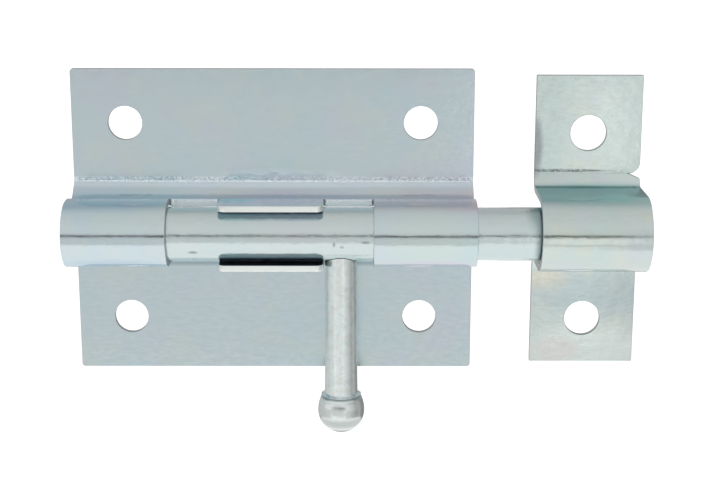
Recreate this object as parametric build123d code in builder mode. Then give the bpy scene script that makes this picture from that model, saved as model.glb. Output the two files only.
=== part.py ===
from build123d import *
import os
from math import atan2, cos, degrees, radians, sin, sqrt, tan

os.makedirs("parts", exist_ok=True)

# Sizes in millimetres. X runs along the rod, Z is up and the doors' faces lie at Y = 0.
# The origin is the middle of the base plate's back face, level with the rod.
sheet = 1.5
plate_width = 100.0
plate_height = 77.0
plate_hole_dia = 8.5
plate_hole_side = 13.25
plate_hole_edge = 13.5
plate_corner = 0.8

rod_dia = 13.0
rod_play = 0.1
rod_stand_off = 15.0
rod_tail_inset = 3.0
rod_reach = 22.7
rod_chamfer = 0.8

channel_spread = 2.2
channel_ramp = 50.0
crease_bend = 0.6
neck_bend = 5.0
wall_bend = 3.5
wall_length = 2.5

window_length = 50.0
tab_length = 25.5
tab_rise = 5.8
tab_corner = 1.8
notch_gap = 0.3
notch_corner = 1.2

handle_tab_gap = 0.3
stem_dia = 7.9
neck_dia = 8.2
collar_dia = 9.9
ball_dia = 11.6
handle_length = 51.0
collar_height = 10.0
collar_flare = 0.7
collar_groove = 0.25
neck_taper = 14.0
handle_play = 0.1

keep_gap = 15.3
keep_width = 26.4
keep_height = 74.0
keep_hole_dia = 9.0
keep_hole_edge = 13.0
keep_hole_drop = 1.4
keep_play = 1.3
keep_crown_drop = 0.5
keep_spread = 3.0
keep_ramp = 25.0
keep_foot_bend = 1.4
nick_depth = 2.9
nick_drop = 1.2

# Sizes that follow from the ones above
rod_radius = rod_dia / 2
loop_in = rod_radius + rod_play
loop_out = loop_in + sheet
plate_right = plate_width / 2
rod_left = -plate_right + rod_tail_inset
channel_crease = loop_out + channel_spread
wall_foot = rod_stand_off - wall_length
tab_top = rod_stand_off + tab_rise
notch_floor = rod_stand_off - stem_dia / 2 - notch_gap
handle_x = tab_length / 2 + handle_tab_gap + stem_dia / 2
keep_left = plate_right + keep_gap
keep_right = keep_left + keep_width
keep_middle = (keep_left + keep_right) / 2
rod_right = keep_left + rod_reach
keep_in = rod_radius + keep_play
keep_out = keep_in + sheet
keep_crease = keep_out + keep_spread
keep_stand_off = rod_stand_off - keep_crown_drop


def ramp_normal(angle):
    """Unit normal of a ramp's front face in the section, as (towards the door, up)."""
    return Vector(-cos(radians(angle)), sin(radians(angle)))


def ramp_rise(angle):
    """Unit vector that climbs a ramp from its crease, as (towards the door, up)."""
    return Vector(-sin(radians(angle)), -cos(radians(angle)))


# Centres of the bends in the base plate's section, seen along the rod
loop_centre = Vector(-rod_stand_off, 0)
shoulder_centre = Vector(-wall_foot, loop_out - wall_bend)
crease_point = Vector(-sheet, channel_crease)
crease_rise = crease_bend * tan(radians(channel_ramp / 2))
crease_centre = Vector(-sheet - crease_bend, channel_crease + crease_rise)

# The neck bend touches both the ramp and the shoulder bend, which gives a quadratic for its place
neck_start = crease_point + ramp_normal(channel_ramp) * neck_bend - shoulder_centre
neck_along = neck_start.dot(ramp_rise(channel_ramp))
neck_square = neck_start.dot(neck_start) - (wall_bend + neck_bend) ** 2
neck_travel = -neck_along - sqrt(neck_along**2 - neck_square)
neck_centre = shoulder_centre + neck_start + ramp_rise(channel_ramp) * neck_travel
neck_angle = degrees(
    atan2(neck_centre.Y - shoulder_centre.Y, neck_centre.X - shoulder_centre.X)
)


def channel_side(depth):
    """One face of the upper half of the pressing, at a depth below its front face."""
    shoulder_radius = wall_bend - depth
    neck_radius = neck_bend + depth
    crease_radius = crease_bend + depth
    ramp_foot = 360 - channel_ramp
    CenterArc(loop_centre, loop_out - depth, 90, 90)
    Line((-rod_stand_off, loop_out - depth), (-wall_foot, loop_out - depth))
    CenterArc(shoulder_centre, shoulder_radius, neck_angle, 90 - neck_angle)
    neck = CenterArc(neck_centre, neck_radius, neck_angle + 180, ramp_foot - neck_angle - 180)
    crease = CenterArc(crease_centre, crease_radius, ramp_foot, channel_ramp)
    Line(neck @ 1, crease @ 0)
    Line(crease @ 1, ((crease @ 1).X, plate_height / 2))


# Base plate: flanges, ramps and loops pressed from one sheet
with BuildPart() as base_plate:
    # Section of the pressing, drawn at its left-hand end
    with BuildSketch(Plane.YZ.offset(-plate_right)):
        with BuildLine():
            channel_side(0)
            channel_side(sheet)
            Line((-sheet, plate_height / 2), (0, plate_height / 2))
            mirror(about=Plane.XZ)
        make_face()
    extrude(amount=plate_width)
    # Arch cut away between the two loops
    with BuildSketch(Plane.XY):
        with Locations((0, -rod_stand_off - loop_out)):
            Rectangle(window_length, 2 * loop_out)
    extrude(amount=loop_out + sheet, both=True, mode=Mode.SUBTRACT)
    # Tabs left standing on both sides of the rod, with rounded top corners
    with BuildSketch(Plane.XY.offset(loop_in)) as tab_face:
        with Locations((0, -(rod_stand_off + tab_top) / 2)):
            Rectangle(tab_length, tab_top - rod_stand_off)
        fillet(tab_face.vertices().group_by(Axis.Y)[0], tab_corner)
    tabs = extrude(amount=sheet)
    mirror(tabs, about=Plane.XY)
    # Notches beside the tabs, where the handle drops in
    with BuildSketch(Plane.XY) as notches:
        with Locations((0, -(notch_floor + rod_stand_off) / 2)):
            Rectangle(window_length, rod_stand_off - notch_floor)
            Rectangle(tab_length, rod_stand_off - notch_floor, mode=Mode.SUBTRACT)
        fillet(notches.vertices().group_by(Axis.Y)[-1], notch_corner)
    extrude(amount=loop_out + sheet, both=True, mode=Mode.SUBTRACT)
    # Four screw holes
    with BuildSketch(Plane.XZ.offset(-sheet)):
        with GridLocations(
            plate_width - 2 * plate_hole_side, plate_height - 2 * plate_hole_edge, 2, 2
        ):
            Circle(plate_hole_dia / 2)
    extrude(amount=3 * sheet, mode=Mode.SUBTRACT)
    # Corners of the flanges, slightly rounded by the shears
    corners = base_plate.edges().filter_by(Axis.Y)
    corners = corners.filter_by(lambda edge: abs(edge.center().X) > plate_right - 0.01)
    corners = corners.filter_by(lambda edge: abs(edge.center().Z) > plate_height / 2 - 0.01)
    fillet(corners, plate_corner)

base_plate.part.label = "base_plate"
export_step(base_plate.part, "parts/base_plate.step")

# Rod: plain round bar with its ends broken
with BuildPart() as bolt_rod:
    with BuildSketch(Plane.YZ.offset(rod_left)):
        with Locations((-rod_stand_off, 0)):
            Circle(rod_radius)
    extrude(amount=rod_right - rod_left)
    chamfer(bolt_rod.edges().filter_by(GeomType.CIRCLE), rod_chamfer)

bolt_rod.part.label = "bolt_rod"
export_step(bolt_rod.part, "parts/bolt_rod.step")

# Heights on the handle, with the rod's centre line at 0
ball_radius = ball_dia / 2
ball_z = -handle_length + ball_radius
collar_z = -handle_length + collar_height
neck_z = collar_z + collar_flare
taper_z = neck_z + neck_taper
ball_top_z = collar_z - 2 * collar_groove

# Handle: pin that widens into a collar and ends in a ball, coped to sit on the rod
with BuildPart() as handle:
    with BuildSketch(Plane.XZ.offset(rod_stand_off)):
        with BuildLine():
            Polyline(
                (handle_x, -handle_length),
                (handle_x, 0),
                (handle_x + stem_dia / 2, 0),
                (handle_x + stem_dia / 2, taper_z),
                (handle_x + neck_dia / 2, neck_z),
                (handle_x + collar_dia / 2, collar_z),
                (handle_x + collar_dia / 2 - collar_groove, collar_z - collar_groove),
                (handle_x + collar_dia / 2, ball_top_z),
            )
            TangentArc(
                (handle_x + ball_radius, ball_z),
                (handle_x + collar_dia / 2, ball_top_z),
                tangent=(0, 1),
            )
            CenterArc((handle_x, ball_z), ball_radius, -90, 90)
        make_face()
    revolve(axis=Axis((handle_x, -rod_stand_off, 0), (0, 0, 1)))
    # End of the pin shaped to the rod
    with BuildSketch(Plane.YZ.offset(handle_x - stem_dia)):
        with Locations((-rod_stand_off, 0)):
            Circle(rod_radius + handle_play)
    extrude(amount=2 * stem_dia, mode=Mode.SUBTRACT)

handle.part.label = "handle"
export_step(handle.part, "parts/handle.step")

# Bends in the keep's section: a wall standing on a gentle ramp
keep_loop_centre = Vector(-keep_stand_off, 0)
keep_crease_rise = crease_bend * tan(radians(keep_ramp / 2))
keep_crease_centre = Vector(-sheet - crease_bend, keep_crease + keep_crease_rise)
keep_foot_line = Vector(-sheet, keep_crease) + ramp_normal(keep_ramp) * keep_foot_bend
keep_foot_y = keep_out + keep_foot_bend
keep_foot_travel = (keep_foot_y - keep_foot_line.Y) / ramp_rise(keep_ramp).Y
keep_foot_centre = keep_foot_line + ramp_rise(keep_ramp) * keep_foot_travel


def keep_side(depth):
    """One face of the upper half of the strap, at a depth below its front face."""
    ramp_foot = 360 - keep_ramp
    CenterArc(keep_loop_centre, keep_out - depth, 90, 90)
    foot = CenterArc(keep_foot_centre, keep_foot_bend + depth, 270, 90 - keep_ramp)
    Line((-keep_stand_off, keep_out - depth), foot @ 0)
    crease = CenterArc(keep_crease_centre, crease_bend + depth, ramp_foot, keep_ramp)
    Line(foot @ 1, crease @ 0)
    Line(crease @ 1, ((crease @ 1).X, keep_height / 2))


# Keep: strap bent over the rod's end
with BuildPart() as keep:
    # Section of the strap, drawn at its left-hand end
    with BuildSketch(Plane.YZ.offset(keep_left)):
        with BuildLine():
            keep_side(0)
            keep_side(sheet)
            Line((-sheet, keep_height / 2), (0, keep_height / 2))
            mirror(about=Plane.XZ)
        make_face()
    extrude(amount=keep_width)
    # One screw hole in each flange
    with BuildSketch(Plane.XZ.offset(-sheet)):
        with Locations((keep_middle, -keep_hole_drop)):
            with GridLocations(keep_width, keep_height - 2 * keep_hole_edge, 1, 2):
                Circle(keep_hole_dia / 2)
    extrude(amount=3 * sheet, mode=Mode.SUBTRACT)
    # Nick in the far edge at the upper crease, under the flange's rounded corner
    nick_tip = Vector(keep_right - nick_depth, keep_crease)
    with BuildSketch(Plane.XZ.offset(-sheet)):
        with BuildLine():
            CenterArc(nick_tip + Vector(0, nick_depth), nick_depth, -90, 90)
            Polyline(
                (keep_right, keep_crease + nick_depth),
                (keep_right + sheet, keep_crease + nick_depth),
                (keep_right + sheet, keep_crease - nick_drop),
                (keep_right, keep_crease - nick_drop),
                nick_tip,
            )
        make_face()
    extrude(amount=4 * sheet, mode=Mode.SUBTRACT)

keep.part.label = "keep"
export_step(keep.part, "parts/keep.step")
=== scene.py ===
"""Looks of a stable door bolt: a pressed base plate, a round rod, its handle and a strap keep.

Lengths are in metres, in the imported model's own frame: X along the rod, Z up, and the door's
face at Y = 0 with the front towards -Y. Only the patches of a finish are placed in millimetres.
"""

import logging
import math
from dataclasses import dataclass, field
from enum import Enum

import bmesh
import bpy
from mathutils import Matrix, Vector


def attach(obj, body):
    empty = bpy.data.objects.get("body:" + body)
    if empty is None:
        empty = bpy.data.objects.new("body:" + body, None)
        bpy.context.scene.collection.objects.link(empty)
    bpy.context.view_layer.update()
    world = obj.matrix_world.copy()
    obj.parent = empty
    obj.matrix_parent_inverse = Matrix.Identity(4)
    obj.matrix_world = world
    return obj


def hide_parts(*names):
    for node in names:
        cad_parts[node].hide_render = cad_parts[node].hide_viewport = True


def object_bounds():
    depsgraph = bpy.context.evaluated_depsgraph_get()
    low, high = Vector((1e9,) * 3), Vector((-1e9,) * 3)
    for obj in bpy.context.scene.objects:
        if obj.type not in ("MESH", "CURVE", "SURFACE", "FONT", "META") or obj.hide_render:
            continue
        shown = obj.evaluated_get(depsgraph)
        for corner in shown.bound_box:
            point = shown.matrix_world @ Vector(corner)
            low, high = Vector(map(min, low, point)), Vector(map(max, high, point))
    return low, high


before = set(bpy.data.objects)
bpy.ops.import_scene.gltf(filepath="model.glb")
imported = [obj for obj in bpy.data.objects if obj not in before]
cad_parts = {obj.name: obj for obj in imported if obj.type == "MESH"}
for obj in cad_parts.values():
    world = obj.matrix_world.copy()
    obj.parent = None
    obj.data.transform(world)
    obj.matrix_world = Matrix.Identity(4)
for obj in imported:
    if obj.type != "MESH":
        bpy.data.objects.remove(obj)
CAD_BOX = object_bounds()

log = logging.getLogger("door_bolt")
MM = 0.001

Colour = tuple[float, float, float]
Place = tuple[float, float, float]
Socket = bpy.types.NodeSocket


def tone(red: int, green: int, blue: int) -> Colour:
    """Turn a screen colour into the linear one that a shader takes.

    Args:
        red: Red, 0 to 255.
        green: Green, 0 to 255.
        blue: Blue, 0 to 255.

    Returns:
        The three linear values.
    """
    def linear(value: float) -> float:
        """Linear value of one screen channel, 0 to 1."""
        return value / 12.92 if value <= 0.04045 else ((value + 0.055) / 1.055) ** 2.4

    return linear(red / 255), linear(green / 255), linear(blue / 255)


# Vertices closer than this are one
SAME_PLACE = 0.002 * MM
# Faces of a pressing that turn by less are one flat, and edges that turn by more are sharp
FLAT_TURN = math.radians(0.3)
SHARP_TURN = math.radians(40)
# A face looks along an axis above the first share of its normal, and across it below the second
FACING = 0.5
AVERTED = 0.6
# A Mix node's sockets for colours: its factor, its two colours and its result
MIX_INPUTS = (0, 6, 7)
MIX_OUTPUT = 2

# Share of a patch's reach that has all of its colour
PATCH_CORE = 0.35
# Ranges of the noises over which clouds, streaks and crushed crumbs come in
CLOUD_EDGES = (0.46, 0.68)
STREAK_EDGES = (0.3, 0.7)
CRUMB_EDGES = (0.4, 0.58)
# Share of a broken patch's colour that is left between its crumbs
CRUMB_FLOOR = 0.05
# Place of the first tint's clouds, and the steps to the next one's, as place and as size
CLOUD_START = (0.07, 0.0, 0.0)
CLOUD_STEP = (0.31, 0.17, 0.23)
CLOUD_GROWTH = 0.35
# Streaks are finer than the grain by this, and this pale
STREAK_FINENESS = 1.2
STREAK_SHARE = 0.11
STREAK_TINT = tone(232, 238, 238)


class Grain(Enum):
    """How a zinc coat's fine texture runs, as its stretch along X, Y and Z."""

    SHEET = (0.35, 1.0, 1.0)
    BAR = (0.4, 1.0, 1.0)
    FORGED = (1.0, 1.0, 0.55)
    EDGE = (1.0, 1.0, 1.0)


class Rim(Enum):
    """Which slot of a pressed piece a face takes."""

    FACE = 0
    SHEARED = 1
    # The last two slots carry painted highlights: the tabs' outer edges and the upper notch floors
    BRIGHT = 2
    NOTCH_GLINT = 3


class ShaderBench:
    """Places the nodes of one material and links them."""

    def __init__(self, name: str) -> None:
        """Start a material with a metal shader.

        Args:
            name: The material's name.
        """
        self.material = bpy.data.materials.new(name)
        self.material.use_nodes = True
        self.tree = self.material.node_tree
        self.metal = next(n for n in self.tree.nodes if n.type == "BSDF_PRINCIPLED")
        self.metal.inputs["Metallic"].default_value = 1.0
        self.place = self.add("ShaderNodeTexCoord").outputs["Object"]

    def add(self, kind: str, **settings: object) -> bpy.types.Node:
        """Add a node and set its properties.

        Args:
            kind: Blender's name of the node's type.
            **settings: Properties of the node.

        Returns:
            The node.
        """
        node = self.tree.nodes.new(kind)
        for name, value in settings.items():
            setattr(node, name, value)
        return node

    def feed(self, socket: Socket, value: object) -> None:
        """Link a socket to another, or write a plain value into it.

        Args:
            socket: The input.
            value: An output socket, a number or a tuple.
        """
        if isinstance(value, bpy.types.NodeSocket):
            self.tree.links.new(value, socket)
        elif isinstance(value, tuple) and len(value) == 3 and socket.type == "RGBA":
            socket.default_value = (*value, 1.0)
        else:
            socket.default_value = value

    def stretched(self, scale: Place = (1.0, 1.0, 1.0), shift: Place = (0.0, 0.0, 0.0)) -> Socket:
        """Object coordinates, stretched and shifted.

        Args:
            scale: Factor along each axis.
            shift: Offset after the factor.

        Returns:
            The vector socket.
        """
        mapping = self.add("ShaderNodeMapping")
        self.feed(mapping.inputs["Vector"], self.place)
        self.feed(mapping.inputs["Scale"], scale)
        self.feed(mapping.inputs["Location"], shift)
        return mapping.outputs["Vector"]

    def noise(self, vector: Socket, scale: float, detail: float, rough: float) -> Socket:
        """Noise between 0 and 1.

        Args:
            vector: Where it is read.
            scale: Features per metre.
            detail: Octaves.
            rough: Share of each further octave.

        Returns:
            The value socket.
        """
        node = self.add("ShaderNodeTexNoise")
        self.feed(node.inputs["Vector"], vector)
        self.feed(node.inputs["Scale"], scale)
        self.feed(node.inputs["Detail"], detail)
        self.feed(node.inputs["Roughness"], rough)
        return node.outputs["Fac"]

    def spread(
        self, value: Socket, low: float, high: float, out_low: float, out_high: float
    ) -> Socket:
        """Map a value from one range to another, eased at both ends.

        Args:
            value: The input.
            low: Input that gives out_low.
            high: Input that gives out_high.
            out_low: Result at low.
            out_high: Result at high.

        Returns:
            The mapped value socket.
        """
        node = self.add("ShaderNodeMapRange", interpolation_type="SMOOTHSTEP")
        self.feed(node.inputs["From Min"], low)
        self.feed(node.inputs["From Max"], high)
        self.feed(node.inputs["To Min"], out_low)
        self.feed(node.inputs["To Max"], out_high)
        self.feed(node.inputs["Value"], value)
        return node.outputs["Result"]

    def maths(self, first: object, how: str, second: object) -> Socket:
        """Combine two values.

        Args:
            first: A socket or number.
            how: Blender's name of the operation.
            second: A socket or number.

        Returns:
            The result socket.
        """
        node = self.add("ShaderNodeMath", operation=how)
        self.feed(node.inputs[0], first)
        self.feed(node.inputs[1], second)
        return node.outputs[0]

    def tinted(self, share: object, base: object, tint: object) -> Socket:
        """Mix two colours.

        Args:
            share: Share of the tint, a socket or number.
            base: First colour.
            tint: Second colour.

        Returns:
            The colour socket.
        """
        node = self.add("ShaderNodeMix", data_type="RGBA")
        for socket, value in zip(MIX_INPUTS, (share, base, tint)):
            self.feed(node.inputs[socket], value)
        return node.outputs[MIX_OUTPUT]

    def bump(self, height: Socket, depth: object, below: Socket | None = None) -> Socket:
        """Raise the surface by a height map.

        Args:
            height: Heights, 0 to 1.
            depth: Metres from 0 to 1, a number or a socket.
            below: Normal of a coarser bump under it.

        Returns:
            The normal socket.
        """
        node = self.add("ShaderNodeBump")
        self.feed(node.inputs["Distance"], depth)
        self.feed(node.inputs["Height"], height)
        if below is not None:
            self.feed(node.inputs["Normal"], below)
        return node.outputs["Normal"]

    def show(self, surface: Socket) -> None:
        """Put another shader in the metal's place.

        Args:
            surface: That shader's output.
        """
        self.tree.nodes.remove(self.metal)
        out = next(n for n in self.tree.nodes if n.type == "OUTPUT_MATERIAL")
        self.feed(out.inputs["Surface"], surface)

    def near(self, centre: Vector, reach: Vector) -> Socket:
        """Mask that is 1 at a place and fades to 0 at the reach from it.

        Args:
            centre: The place.
            reach: Distance to the edge along each axis.

        Returns:
            The mask socket.
        """
        scale = tuple(1 / r for r in reach)
        shift = tuple(-c / r for c, r in zip(centre, reach))
        length = self.add("ShaderNodeVectorMath", operation="LENGTH")
        self.feed(length.inputs[0], self.stretched(scale, shift))
        return self.spread(length.outputs["Value"], PATCH_CORE, 1.0, 1.0, 0.0)


@dataclass(frozen=True)
class Patch:
    """A place where the coat has another colour, for tints, marks, and painted light and shade,
    fading to its reach along each axis, in mm.

    A mirrored patch is there above and below the rod, and a broken one is crushed to crumbs.
    """

    centre: Place
    reach: Place
    colour: Colour
    share: float
    mirrored: bool = False
    broken: bool = False

    def mask(self, bench: ShaderBench, upside: int) -> Socket:
        """Share of the patch's colour.

        Args:
            bench: The material's bench.
            upside: 1 as placed, -1 for its mirror image below the rod.

        Returns:
            The mask socket.
        """
        x, y, z = Vector(self.centre) * MM
        spot = bench.near(Vector((x, y, upside * z)), Vector(self.reach) * MM)
        return bench.maths(spot, "MULTIPLY", self.share)


@dataclass(frozen=True)
class ZincFinish:
    """Bright zinc coat on steel, with its faint tints, streaks and marks, and patches of painted
    light and shade.
    """

    name: str
    base: Colour
    tints: tuple[Colour, ...]
    grain: Grain
    roughness: float = 0.17
    rough_spread: float = 0.03
    tint_scale: float = 45.0
    tint_share: float = 0.5
    grain_scale: float = 1000.0
    grain_depth: float = 0.02 * MM
    grain_detail: float = 5.0
    wave_scale: float = 260.0
    wave_depth: float = 0.05 * MM
    crumb_scale: float = 2200.0
    crumb_depth: float = 0.08 * MM
    patches: tuple[Patch, ...] = ()

    def clouded(self, bench: ShaderBench) -> object:
        """Lay the tints over the base colour in soft clouds.

        Args:
            bench: The material's bench.

        Returns:
            The colour.
        """
        colour: object = self.base
        for turn, tint in enumerate(self.tints):
            place = tuple(step * turn + start for step, start in zip(CLOUD_STEP, CLOUD_START))
            size = self.tint_scale * (1 + CLOUD_GROWTH * turn)
            cloud = bench.noise(bench.stretched(shift=place), size, detail=3.0, rough=0.55)
            share = bench.spread(cloud, *CLOUD_EDGES, 0.0, self.tint_share)
            colour = bench.tinted(share, colour, tint)
        return colour

    def marked(
        self, bench: ShaderBench, colour: object, crumbs: Socket
    ) -> tuple[object, Socket | None]:
        """Lay the patches over the colour.

        Args:
            bench: The material's bench.
            colour: The colour under them.
            crumbs: Noise that breaks the crushed patches up.

        Returns:
            The colour, and the mask of what is crushed, if anything is.
        """
        crushed: Socket | None = None
        for patch in self.patches:
            for upside in (1, -1) if patch.mirrored else (1,):
                share = patch.mask(bench, upside)
                if patch.broken:
                    crushed = share if crushed is None else bench.maths(crushed, "MAXIMUM", share)
                    left = bench.spread(crumbs, *CRUMB_EDGES, CRUMB_FLOOR, 1.0)
                    share = bench.maths(share, "MULTIPLY", left)
                colour = bench.tinted(share, colour, patch.colour)
        return colour, crushed

    def material(self) -> bpy.types.Material:
        """Build the coat's shader.

        Returns:
            The material.
        """
        bench = ShaderBench(self.name)
        grained = bench.stretched(self.grain.value)
        streak = bench.noise(grained, self.grain_scale * STREAK_FINENESS, detail=4.0, rough=0.6)
        crumbs = bench.noise(bench.place, self.crumb_scale, detail=2.0, rough=0.6)
        pale = bench.spread(streak, *STREAK_EDGES, 0.0, STREAK_SHARE)
        colour = bench.tinted(pale, self.clouded(bench), STREAK_TINT)
        colour, crushed = self.marked(bench, colour, crumbs)
        bench.feed(bench.metal.inputs["Base Color"], colour)
        least, most = self.roughness - self.rough_spread, self.roughness + self.rough_spread
        rough = bench.spread(streak, *STREAK_EDGES, least, most)
        bench.feed(bench.metal.inputs["Roughness"], rough)
        waves = bench.noise(bench.place, self.wave_scale, detail=2.0, rough=0.5)
        normal = bench.bump(waves, self.wave_depth)
        if crushed is not None:
            depth = bench.maths(crushed, "MULTIPLY", self.crumb_depth)
            normal = bench.bump(crumbs, depth, normal)
        fine = bench.noise(grained, self.grain_scale, self.grain_detail, rough=0.6)
        bench.feed(bench.metal.inputs["Normal"], bench.bump(fine, self.grain_depth, normal))
        return bench.material


SHEARED = ZincFinish(
    "sheared edge", tone(165, 168, 169), (tone(140, 143, 144),), Grain.EDGE,
    roughness=0.42, grain_scale=1500.0, grain_depth=0.01 * MM, wave_depth=0.0,
)
# Near-white finish of the tabs' outer edges: a painted highlight
TAB_EDGE_GLINT = ZincFinish(
    "tab edge painted glint", tone(248, 252, 248), (tone(228, 236, 234),), Grain.EDGE,
    roughness=0.4, grain_scale=1200.0, grain_depth=0.006 * MM, wave_depth=0.0,
)
# Near-white finish of the upper notch floors: a painted glint
NOTCH_GLINT = ZincFinish(
    "notch floor painted glint", tone(244, 250, 255), (tone(232, 236, 252),), Grain.EDGE,
    roughness=0.25, grain_scale=1200.0, grain_depth=0.07 * MM, wave_depth=0.0,
)
PLATE_COAT = ZincFinish(
    "zinc sheet", tone(198, 213, 218),
    (tone(190, 214, 219), tone(204, 208, 221), tone(205, 215, 209)), Grain.SHEET,
    patches=(
        # Blue to lilac tints on the neck bends, above and below the rod, darker than the coat as
        # painted shade in the bends
        Patch((-46, -12, 7.6), (44, 12, 2.8), tone(172, 200, 214), 0.9, mirrored=True),
        Patch((2, -12, 7.6), (34, 12, 2.8), tone(186, 186, 204), 0.9, mirrored=True),
        Patch((46, -12, 7.6), (44, 12, 2.8), tone(200, 192, 202), 0.9, mirrored=True),
        # Painted light on the foot of the upper flange and on its crease
        Patch((2, -1.5, 12), (20, 1.2, 1.9), tone(218, 234, 240), 0.5),
        Patch((0, -2.4, 10), (90, 2.2, 1.6), tone(224, 236, 246), 0.65),
        # Right loop, green on its crown and lilac under it
        Patch((38, -21, 1), (17, 9, 11), tone(204, 217, 211), 0.7),
        Patch((38, -19.5, -7), (17, 6, 2.6), tone(206, 204, 216), 0.7),
        # Left loop's blue underside
        Patch((-38, -19.5, -7), (17, 6, 2.8), tone(176, 196, 212), 0.6),
        # Painted shade darkening the lower crease
        Patch((0, -2, -10.5), (110, 2.6, 1.5), tone(160, 180, 186), 0.9),
        # Painted glint along the upper crease, crushed to crumbs
        Patch((0, -1.7, 10.8), (160, 1.6, 0.95), tone(240, 250, 255), 1.0, broken=True),
        # Teal spot on the upper tab
        Patch((-9, -13.5, 8.1), (7, 5, 1.5), tone(128, 196, 206), 0.8),
    ),
)
KEEP_COAT = ZincFinish(
    "zinc strap", tone(200, 212, 208),
    (tone(192, 212, 211), tone(204, 208, 215), tone(210, 214, 200)), Grain.SHEET,
    tint_scale=80.0,
    patches=(
        # Teal band over the loop's top
        Patch((78.5, -10, 8.3), (40, 12, 3.4), tone(122, 186, 190), 0.95),
        Patch((78.5, -9, 8.6), (40, 9, 1.7), tone(98, 160, 164), 0.8),
        # Upper flange, paler on its right
        Patch((91, -1.5, 25), (16, 3, 22), tone(214, 228, 224), 0.75),
        Patch((66, -1.5, 25), (12, 3, 22), tone(188, 203, 200), 0.6),
        # Smudge by the left edge and scrape along the crease
        Patch((65.4, -1.5, 19), (2.4, 2, 10), tone(140, 144, 148), 0.75),
        Patch((72, -1.6, 13.1), (16, 1, 0.6), tone(120, 114, 116), 0.8, broken=True),
        # Lower flange: straw tint, a darker slate band, then a paler green and lilac foot, tints
        # laid over a painted reflection gradient
        Patch((69, -1.5, -15.5), (8, 3, 4), tone(232, 222, 196), 0.6),
        Patch((81, -1.5, -19), (26, 3, 8), tone(178, 194, 198), 0.6),
        Patch((80, -1.5, -34), (24, 3, 10), tone(224, 234, 230), 0.85),
        Patch((72, -1.5, -34), (8, 3, 5), tone(222, 216, 214), 0.5),
    ),
)
ROD_COAT = ZincFinish(
    "zinc bar", tone(203, 215, 214),
    (tone(196, 214, 215), tone(208, 211, 217)), Grain.BAR,
    roughness=0.2, grain_depth=0.034 * MM, wave_scale=420.0, wave_depth=0.07 * MM,
    patches=(
        # Scuffs beside the handle and beside the left loop
        Patch((15.4, -21.4, -1.2), (0.5, 1.0, 0.9), tone(138, 142, 144), 0.7),
        Patch((17.3, -21.3, -1.9), (0.8, 1.0, 0.5), tone(150, 152, 154), 0.6),
        Patch((23.0, -21.4, -0.7), (1.6, 1.0, 0.5), tone(138, 144, 146), 0.7),
        Patch((-18.6, -20.9, -3.4), (1.7, 1.4, 0.6), tone(132, 140, 142), 0.75),
        # Painted shade and reflection of the keep, dark teal where the rod enters it
        Patch((66.0, -18.0, -1.0), (3.0, 9.0, 9.5), tone(92, 118, 120), 0.85),
        Patch((66.0, -18.0, 5.0), (5.0, 6.0, 8.0), tone(136, 158, 162), 0.75),
    ),
)
HANDLE_COAT = ZincFinish(
    "zinc pin", tone(232, 243, 241),
    (tone(208, 222, 220), tone(238, 234, 240), tone(220, 222, 210)), Grain.FORGED,
    roughness=0.22, rough_spread=0.04, tint_scale=420.0, grain_scale=1300.0,
    grain_depth=0.012 * MM, grain_detail=3.0, wave_scale=330.0, wave_depth=0.04 * MM,
    patches=(
        # The ball is greyer than the pin, painted to dim its reflection, with a painted dark
        # reflection band round it
        Patch((17, -15, -46), (11, 11, 6.5), tone(216, 221, 219), 0.9),
        Patch((17, -15, -47.5), (16, 16, 1.9), tone(172, 178, 176), 0.7),
        # Painted shade in the groove under the collar, and two painted highlights below it
        Patch((17, -15, -41.35), (15, 15, 0.4), tone(158, 170, 168), 0.75),
        Patch((14, -20, -43), (3, 2, 0.9), tone(246, 250, 250), 0.8),
        Patch((19.8, -20, -43.2), (3, 2, 1.2), tone(246, 250, 250), 0.8),
        # Painted shade at the ball's lowest point
        Patch((17, -16, -50.4), (7, 10, 1.3), tone(100, 106, 102), 0.9),
    ),
)


def linked(name: str, data: bpy.types.ID) -> bpy.types.Object:
    """Put a mesh or a camera into the scene at the origin.

    Args:
        name: The object's name.
        data: What it holds.

    Returns:
        The object.
    """
    thing = bpy.data.objects.new(name, data)
    bpy.context.scene.collection.objects.link(thing)
    return thing


def made(name: str, bm: bmesh.types.BMesh, *materials: bpy.types.Material) -> bpy.types.Object:
    """Turn a bmesh into a piece at the origin.

    Args:
        name: The piece's name.
        bm: Its shape, which is used up.
        *materials: What its slots hold, in order.

    Returns:
        The object.
    """
    mesh = bpy.data.meshes.new(name)
    bm.to_mesh(mesh)
    bm.free()
    for material in materials:
        mesh.materials.append(material)
    return linked(name, mesh)


def break_edges(bm: bmesh.types.BMesh, past: float, width: float, steps: int) -> None:
    """Bevel each edge that is sharper than an angle.

    Args:
        bm: The shape.
        past: Turn between an edge's two faces past which it is broken.
        width: Width of the bevel.
        steps: Faces across it.
    """
    sharp = [edge for edge in bm.edges if edge.calc_face_angle(0) > past]
    bmesh.ops.bevel(
        bm, geom=sharp, offset=width, affect="EDGES", segments=steps, profile=0.5, material=-1
    )


def smoothed(bm: bmesh.types.BMesh) -> None:
    """Shade every face smooth."""
    for face in bm.faces:
        face.smooth = True


def even_normals(piece: bpy.types.Object) -> None:
    """Give the large faces the say over the normals, so that flats stay flat."""
    modifier = piece.modifiers.new("even normals", "WEIGHTED_NORMAL")
    modifier.keep_sharp = True


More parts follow.
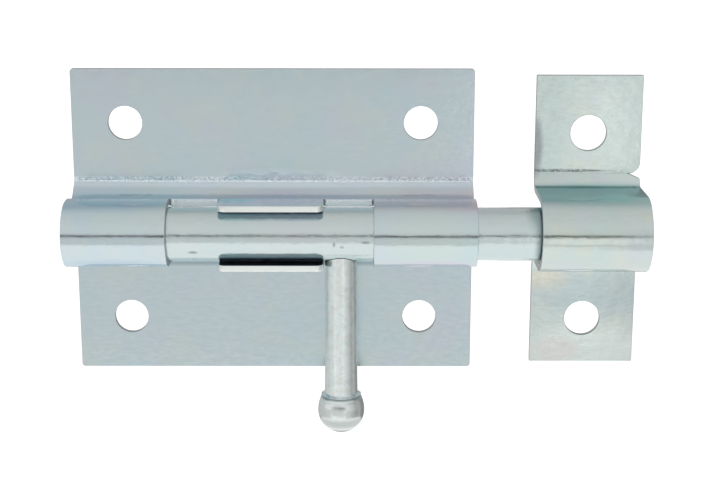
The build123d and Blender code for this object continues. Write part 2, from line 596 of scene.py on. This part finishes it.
@dataclass
class Pressing:
    """A piece of bent sheet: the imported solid's shape with its sheared edges broken."""

    name: str
    node: str
    half_height: float
    hole_radius: float
    finishes: tuple[ZincFinish, ...]
    body: str = "base"
    slot: str = "zinc_sheet"
    edge_break: float = 0.14 * MM
    slack: float = 0.3 * MM

    def rim_of(self, face: bmesh.types.BMFace) -> Rim:
        """Say which finish a face takes.

        Args:
            face: A face of the piece.

        Returns:
            The slot that it takes.
        """
        raise NotImplementedError

    def in_hole(self, face: bmesh.types.BMFace, centre: Vector) -> bool:
        """Whether a face is part of a screw hole's wall.

        Args:
            face: A face of the piece.
            centre: The hole's centre, at Y = 0.

        Returns:
            True if it is.
        """
        middle = face.calc_center_median()
        away = Vector((middle.x - centre.x, 0.0, middle.z - centre.z)).length
        return away < self.hole_radius + self.slack and abs(face.normal.y) < AVERTED

    def build(self) -> bpy.types.Object:
        """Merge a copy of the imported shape, break its edges, dress it and put it in its place.

        Returns:
            The object.
        """
        bm = bmesh.new()
        bm.from_mesh(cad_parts[self.node].data)
        bmesh.ops.remove_doubles(bm, verts=bm.verts, dist=SAME_PLACE)
        bmesh.ops.dissolve_limit(
            bm, angle_limit=FLAT_TURN, verts=bm.verts, edges=bm.edges, delimit={"NORMAL"}
        )
        break_edges(bm, SHARP_TURN, self.edge_break, 2)
        bmesh.ops.remove_doubles(bm, verts=bm.verts, dist=SAME_PLACE)
        smoothed(bm)
        for face in bm.faces:
            face.material_index = self.rim_of(face).value
        piece = made(self.name, bm, *(finish.material() for finish in self.finishes))
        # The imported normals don't fit the broken edges
        packed_normals = piece.data.attributes.get("custom_normal")
        if packed_normals is not None:
            piece.data.attributes.remove(packed_normals)
        even_normals(piece)
        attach(piece, self.body)
        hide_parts(self.node)
        return piece


@dataclass
class BasePlate(Pressing):
    """The base plate, with its flanges, loops and tabs."""

    name: str = "base_plate_sheet"
    node: str = "base_plate"
    half_height: float = 38.5 * MM
    hole_radius: float = 4.25 * MM
    finishes: tuple[ZincFinish, ...] = (PLATE_COAT, SHEARED, TAB_EDGE_GLINT, NOTCH_GLINT)
    hole_side: float = 36.75 * MM
    hole_rise: float = 25.0 * MM
    half_window: float = 25.0 * MM
    half_tab: float = 12.75 * MM
    tab_foot: float = 15.5 * MM
    notch_floor: float = 10.75 * MM

    def rim_of(self, face: bmesh.types.BMFace) -> Rim:
        """Sort the outer edges and holes from the punched tabs and notches.

        Args:
            face: A face of the plate.

        Returns:
            The slot that it takes.
        """
        middle, normal = face.calc_center_median(), face.normal
        if abs(middle.z) > self.half_height - self.slack and abs(normal.z) > FACING:
            return Rim.SHEARED
        side = math.copysign(self.hole_side, middle.x)
        rise = math.copysign(self.hole_rise, middle.z)
        if self.in_hole(face, Vector((side, 0.0, rise))):
            return Rim.SHEARED
        if abs(middle.x) < self.half_window - self.slack and abs(normal.z) < AVERTED:
            # The tabs' outer edges take a painted highlight
            if abs(middle.x) < self.half_tab + self.slack and middle.y < -self.tab_foot:
                return Rim.BRIGHT
            # Only the upper notch floors take a painted glint; the lower ones keep the coat
            if middle.z > 0 and abs(middle.y + self.notch_floor) < self.slack:
                return Rim.NOTCH_GLINT
        return Rim.SHEARED if abs(normal.x) > FACING else Rim.FACE


@dataclass
class Keep(Pressing):
    """The strap that the rod shoots into."""

    name: str = "keep_strap"
    node: str = "keep"
    half_height: float = 37.0 * MM
    hole_radius: float = 4.5 * MM
    finishes: tuple[ZincFinish, ...] = (KEEP_COAT, SHEARED)
    middle: float = 78.5 * MM
    hole_rise: float = 24.0 * MM
    hole_drop: float = 1.4 * MM

    def rim_of(self, face: bmesh.types.BMFace) -> Rim:
        """Sort the strap's edges and holes from its faces.

        Args:
            face: A face of the strap.

        Returns:
            The slot that it takes.
        """
        height, normal = abs(face.calc_center_median().z), face.normal
        if height > self.half_height - self.slack and abs(normal.z) > FACING:
            return Rim.SHEARED
        holes = (
            Vector((self.middle, 0.0, rise - self.hole_drop))
            for rise in (self.hole_rise, -self.hole_rise)
        )
        if abs(normal.x) > FACING or any(self.in_hole(face, hole) for hole in holes):
            return Rim.SHEARED
        return Rim.FACE


@dataclass
class Rod:
    """The round bar, with its ends broken."""

    radius: float = 6.5 * MM
    left: float = -47.0 * MM
    right: float = 88.0 * MM
    stand_off: float = 15.0 * MM
    chamfer: float = 0.8 * MM
    edge_break: float = 0.1 * MM
    sides: int = 160

    def build(self) -> bpy.types.Object:
        """Make the bar from a cylinder and put it in its node's place.

        Returns:
            The object.
        """
        bm = bmesh.new()
        centre = Matrix.Translation(((self.left + self.right) / 2, -self.stand_off, 0))
        bmesh.ops.create_cone(
            bm, cap_ends=True, segments=self.sides, radius1=self.radius, radius2=self.radius,
            depth=self.right - self.left, matrix=centre @ Matrix.Rotation(math.pi / 2, 4, "Y"),
        )
        square_corner, blunt_corner = math.radians(60), math.radians(30)
        break_edges(bm, square_corner, self.chamfer, 1)
        break_edges(bm, blunt_corner, self.edge_break, 2)
        smoothed(bm)
        piece = made("bolt_bar", bm, ROD_COAT.material())
        even_normals(piece)
        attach(piece, "bolt")
        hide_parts("bolt_rod")
        return piece


@dataclass
class Handle:
    """The drop handle: a pin that widens to a collar and ends in a ball.

    The ring counts say how finely the profile is divided across the pin's top, down its straight
    part and its taper, over the collar's flare, and above and below the ball's widest place.
    """

    x: float = 17.0 * MM
    stand_off: float = 15.0 * MM
    saddle: float = 6.6 * MM
    stem_radius: float = 3.95 * MM
    neck_radius: float = 4.1 * MM
    neck_taper: float = 14.0 * MM
    neck_curve: float = 1.6
    collar_radius: float = 4.95 * MM
    collar_height: float = 10.0 * MM
    collar_flare: float = 0.7 * MM
    collar_edge: float = 0.92
    groove: float = 0.25 * MM
    groove_lip: float = 0.05 * MM
    ball_radius: float = 5.8 * MM
    length: float = 51.0 * MM
    first_ring: float = 8.0 * MM
    ring_step: float = 6.0 * MM
    top_rings: int = 3
    pin_rings: int = 3
    taper_rings: int = 4
    flare_rings: int = 5
    upper_rings: int = 8
    lower_rings: int = 16
    steps: int = 128

    def neck(self, neck_z: float) -> list[tuple[float, float]]:
        """The pin's profile from its straight part to its collar.

        Args:
            neck_z: Height where the collar's flare starts.

        Returns:
            Points as radius and height.
        """
        swell, flare = self.neck_radius - self.stem_radius, self.collar_radius - self.neck_radius
        taper = [
            (
                self.stem_radius + swell * (k / self.taper_rings) ** self.neck_curve,
                neck_z + self.neck_taper * (1 - k / self.taper_rings),
            )
            for k in range(self.taper_rings + 1)
        ]
        collar = [
            (
                self.neck_radius + flare * (1 - math.cos(math.pi / 2 * k / self.flare_rings)),
                neck_z - self.collar_flare * self.collar_edge * k / self.flare_rings,
            )
            for k in range(1, self.flare_rings + 1)
        ]
        return taper + collar

    def ball(self, ball_top: float, ball_z: float) -> list[tuple[float, float]]:
        """The ball's profile: a flat arc down to its widest place, and a round one below.

        Args:
            ball_top: Height of its upper rim.
            ball_z: Height of its widest place.

        Returns:
            Points as radius and height.
        """
        drop, swell = ball_top - ball_z, self.ball_radius - self.collar_radius
        bulge = (swell**2 + drop**2) / (2 * swell)
        points = []
        for k in range(self.upper_rings + 1):
            z = ball_top + (ball_z - ball_top) * k / self.upper_rings
            points.append((self.ball_radius - bulge + math.sqrt(bulge**2 - (z - ball_z) ** 2), z))
        for k in range(1, self.lower_rings):
            turn = math.pi / 2 * k / self.lower_rings
            points.append((
                self.ball_radius * math.cos(turn), ball_z - self.ball_radius * math.sin(turn)
            ))
        return [*points, (0.0, -self.length)]

    def outline(self) -> list[tuple[float, float]]:
        """The turned profile, as radius and height below the rod's centre line.

        Returns:
            Points from the top's middle to the ball's lowest point.
        """
        collar_z = -self.length + self.collar_height
        ball_top = collar_z - 2 * self.groove
        top = [(self.stem_radius * k / self.top_rings, 0.0) for k in range(self.top_rings + 1)]
        pin = [
            (self.stem_radius, -self.first_ring - self.ring_step * k) for k in range(self.pin_rings)
        ]
        return [
            *top,
            *pin,
            *self.neck(collar_z + self.collar_flare),
            (self.collar_radius, collar_z),
            (self.collar_radius - self.groove, collar_z - self.groove),
            (self.collar_radius - 2 * self.groove_lip, ball_top + self.groove_lip),
            *self.ball(ball_top, -self.length + self.ball_radius),
        ]

    def build(self) -> bpy.types.Object:
        """Spin the profile, saddle its top to the rod and put it in its node's place.

        Returns:
            The object.
        """
        axis_foot = Vector((self.x, -self.stand_off, 0.0))
        bm = bmesh.new()
        chain = [bm.verts.new(axis_foot + Vector((r, 0, z))) for r, z in self.outline()]
        edges = [bm.edges.new(pair) for pair in zip(chain, chain[1:])]
        bmesh.ops.spin(
            bm, geom=[*chain, *edges], cent=axis_foot, axis=(0, 0, 1), angle=math.tau,
            steps=self.steps, use_merge=True, use_duplicate=False,
        )
        bmesh.ops.remove_doubles(bm, verts=bm.verts, dist=SAME_PLACE)
        for vert in bm.verts:
            if vert.co.z > -SAME_PLACE:
                vert.co.z = -math.sqrt(self.saddle**2 - (vert.co.y + self.stand_off) ** 2)
        bmesh.ops.recalc_face_normals(bm, faces=bm.faces)
        smoothed(bm)
        for edge in bm.edges:
            edge.smooth = edge.calc_face_angle(0) < SHARP_TURN
        piece = made("drop_handle", bm, HANDLE_COAT.material())
        even_normals(piece)
        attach(piece, "handle")
        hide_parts("handle")
        return piece


@dataclass(frozen=True)
class Card:
    """A card bent round the bolt's axis, or upright round the handle, that only metal shows.

    Angles are seen from that axis. 0 is straight ahead, and 90 is overhead, or on the right for an
    upright card. The glow is even, or follows stops of angle and glow.
    """

    name: str
    low: float
    high: float
    distance: float
    glow: float = 0.0
    start: float = -4.0
    end: float = 4.0
    upright: bool = False
    stops: tuple[tuple[float, float], ...] = ()
    foot: Vector = field(default_factory=lambda: Vector((17, -15, 0)) * MM)
    steps: int = 24

    def build(self) -> None:
        """Bend the card, light it and set it up beside the bolt."""
        along = Vector((0, 0, 1)) if self.upright else Vector((1, 0, 0))
        axis = along if self.upright else -along
        bm = bmesh.new()
        ahead = Vector((0, -self.distance, 0))
        ends = [bm.verts.new(along * place + ahead) for place in (self.start, self.end)]
        edge = bm.edges.new(ends)
        lowest = Matrix.Rotation(math.radians(self.low), 3, axis)
        bmesh.ops.rotate(bm, verts=ends, matrix=lowest)
        bmesh.ops.spin(
            bm, geom=[*ends, edge], cent=(0, 0, 0), axis=axis,
            angle=math.radians(self.high - self.low), steps=self.steps, use_duplicate=False,
        )
        if self.upright:
            bmesh.ops.translate(bm, verts=bm.verts, vec=self.foot)
        piece = made(self.name, bm, self.material())
        piece.visible_camera = False
        piece.visible_shadow = False
        piece.visible_diffuse = not self.upright

    def material(self) -> bpy.types.Material:
        """Build the card's glow.

        Returns:
            The material.
        """
        bench = ShaderBench(self.name)
        glow = bench.add("ShaderNodeEmission")
        bench.feed(glow.inputs["Strength"], self.graded(bench) if self.stops else self.glow)
        bench.show(glow.outputs[0])
        return bench.material

    def graded(self, bench: ShaderBench) -> Socket:
        """Let the card's glow follow its stops round its axis.

        Args:
            bench: The card's bench.

        Returns:
            The strength socket.
        """
        parts = bench.add("ShaderNodeSeparateXYZ")
        foot = self.foot if self.upright else Vector()
        bench.feed(parts.inputs[0], bench.stretched(shift=tuple(-foot)))
        ahead = bench.maths(parts.outputs["Y"], "MULTIPLY", -1.0)
        turn = bench.maths(parts.outputs["X" if self.upright else "Z"], "ARCTAN2", ahead)
        share, ramp = bench.add("ShaderNodeMapRange"), bench.add("ShaderNodeValToRGB")
        bench.feed(share.inputs["From Min"], math.radians(self.low))
        bench.feed(share.inputs["From Max"], math.radians(self.high))
        bench.feed(share.inputs["Value"], turn)
        bench.feed(ramp.inputs["Fac"], share.outputs["Result"])
        steps = ramp.color_ramp.elements
        while len(steps) > 1:
            steps.remove(steps[-1])
        for number, (angle, level) in enumerate(self.stops):
            spot = (angle - self.low) / (self.high - self.low)
            step = steps[0] if number == 0 else steps.new(spot)
            step.position = spot
            step.color = (level, level, level, 1.0)
        return ramp.outputs["Color"]


@dataclass
class Studio:
    """The pale floor, the white surround, the cards and the camera."""

    floor_drop: float = 0.21
    floor_size: float = 14.0
    floor_colour: Colour = (0.82, 0.82, 0.82)
    floor_glow_to_eye: float = 0.62
    floor_glow_to_metal: float = 0.5
    room_light: float = 0.7
    room_shown: float = 1.0
    camera_place: Vector = field(default_factory=lambda: Vector((0.021786, -0.378867, 0.087393)))
    camera_ahead: Vector = field(default_factory=lambda: Vector((0.00097, 0.97030, -0.24192)))
    camera_roll: float = 0.0013
    lens: float = 76.32
    sensor: float = 36.0
    sight: tuple[float, float] = (0.01, 100.0)
    cards: tuple[Card, ...] = (
        Card(
            "upper_card", 7.5, 107.0, 1.6,
            stops=((7.5, 0.84), (30, 0.84), (58, 0.79), (80, 0.75), (94, 0.71), (107, 0.66)),
        ),
        Card("rear_card", 107.0, 172.0, 1.6, 0.6),
        Card("black_strip", 0.5, 7.0, 0.6, 0.0),
        Card("lower_card", -27.0, 0.0, 0.5, 0.78, end=0.11),
        Card("low_strip", -26.0, -20.0, 0.5, 0.76, start=0.11),
        Card(
            "right_card", 22.0, 168.0, 0.35, start=-0.25, end=0.15, upright=True,
            stops=(
                (22, 0.78), (34, 0.72), (48, 0.62), (60, 0.54), (72, 0.42), (84, 0.38),
                (96, 0.52), (108, 0.44), (124, 0.28), (145, 0.3), (168, 0.4),
            ),
        ),
        Card(
            "left_card", -168.0, -50.0, 0.35, start=-0.25, end=0.15, upright=True,
            stops=((-168, 0.5), (-120, 0.62), (-90, 0.66), (-60, 0.74), (-50, 0.77)),
        ),
        Card("stem_card", 13.5, 19.5, 0.2, 0.8, start=-0.1, end=-0.05, upright=True),
    )

    def floor(self) -> None:
        """Lay the pale floor under the bolt, white to the eye and to metal, shadow kept."""
        bench = ShaderBench("pale floor")
        cloth, glow = bench.add("ShaderNodeBsdfDiffuse"), bench.add("ShaderNodeEmission")
        bench.feed(cloth.inputs["Color"], self.floor_colour)
        path = bench.add("ShaderNodeLightPath").outputs
        eye = bench.maths(path["Is Camera Ray"], "MULTIPLY", self.floor_glow_to_eye)
        shine = bench.maths(path["Is Glossy Ray"], "MAXIMUM", path["Is Transmission Ray"])
        shine = bench.maths(shine, "MULTIPLY", self.floor_glow_to_metal)
        bench.feed(glow.inputs["Strength"], bench.maths(eye, "ADD", shine))
        both = bench.add("ShaderNodeAddShader")
        bench.feed(both.inputs[0], cloth.outputs[0])
        bench.feed(both.inputs[1], glow.outputs[0])
        bench.show(both.outputs[0])
        bm = bmesh.new()
        bmesh.ops.create_grid(bm, x_segments=1, y_segments=1, size=self.floor_size / 2)
        bmesh.ops.translate(bm, verts=bm.verts, vec=(0, 0, CAD_BOX[0].z - self.floor_drop))
        made("floor", bm, bench.material)

    def surround(self) -> None:
        """Light the room evenly, and show it white to the eye, to metal and to glass."""
        world = bpy.data.worlds.new("white room")
        bpy.context.scene.world = world
        world.use_nodes = True
        tree = world.node_tree
        tree.nodes.clear()
        path = tree.nodes.new("ShaderNodeLightPath")
        rooms = []
        for strength in (self.room_light, self.room_shown):
            room = tree.nodes.new("ShaderNodeBackground")
            room.inputs["Strength"].default_value = strength
            room.inputs["Color"].default_value = (1.0, 1.0, 1.0, 1.0)
            rooms.append(room)
        share: Socket = path.outputs["Is Camera Ray"]
        for kind in ("Is Glossy Ray", "Is Transmission Ray"):
            either = tree.nodes.new("ShaderNodeMath")
            either.operation = "MAXIMUM"
            tree.links.new(share, either.inputs[0])
            tree.links.new(path.outputs[kind], either.inputs[1])
            share = either.outputs[0]
        mix, out = tree.nodes.new("ShaderNodeMixShader"), tree.nodes.new("ShaderNodeOutputWorld")
        tree.links.new(share, mix.inputs[0])
        tree.links.new(rooms[0].outputs[0], mix.inputs[1])
        tree.links.new(rooms[1].outputs[0], mix.inputs[2])
        tree.links.new(mix.outputs[0], out.inputs["Surface"])

    def camera(self) -> None:
        """Set the camera at the photograph's angle."""
        data = bpy.data.cameras.new("camera")
        data.sensor_width = self.sensor
        data.lens = self.lens
        data.clip_start, data.clip_end = self.sight
        camera = linked("camera", data)
        turn = self.camera_ahead.to_track_quat("-Z", "Y").to_matrix().to_4x4()
        roll = Matrix.Rotation(self.camera_roll, 4, "Z")
        camera.matrix_world = Matrix.Translation(self.camera_place) @ turn @ roll
        bpy.context.scene.camera = camera

    def build(self) -> None:
        """Set up the whole studio."""
        self.floor()
        self.surround()
        for card in self.cards:
            card.build()
        self.camera()
        bpy.context.scene.view_settings.view_transform = "Standard"


def main() -> None:
    """Build every piece and log its face count, then the studio."""
    logging.basicConfig(level=logging.INFO, format="%(name)s: %(message)s")
    for part in (BasePlate(), Keep(), Rod(), Handle()):
        piece = part.build()
        log.info("%s: %d faces", piece.name, len(piece.data.polygons))
    Studio().build()


if __name__ == "__main__":
    main()
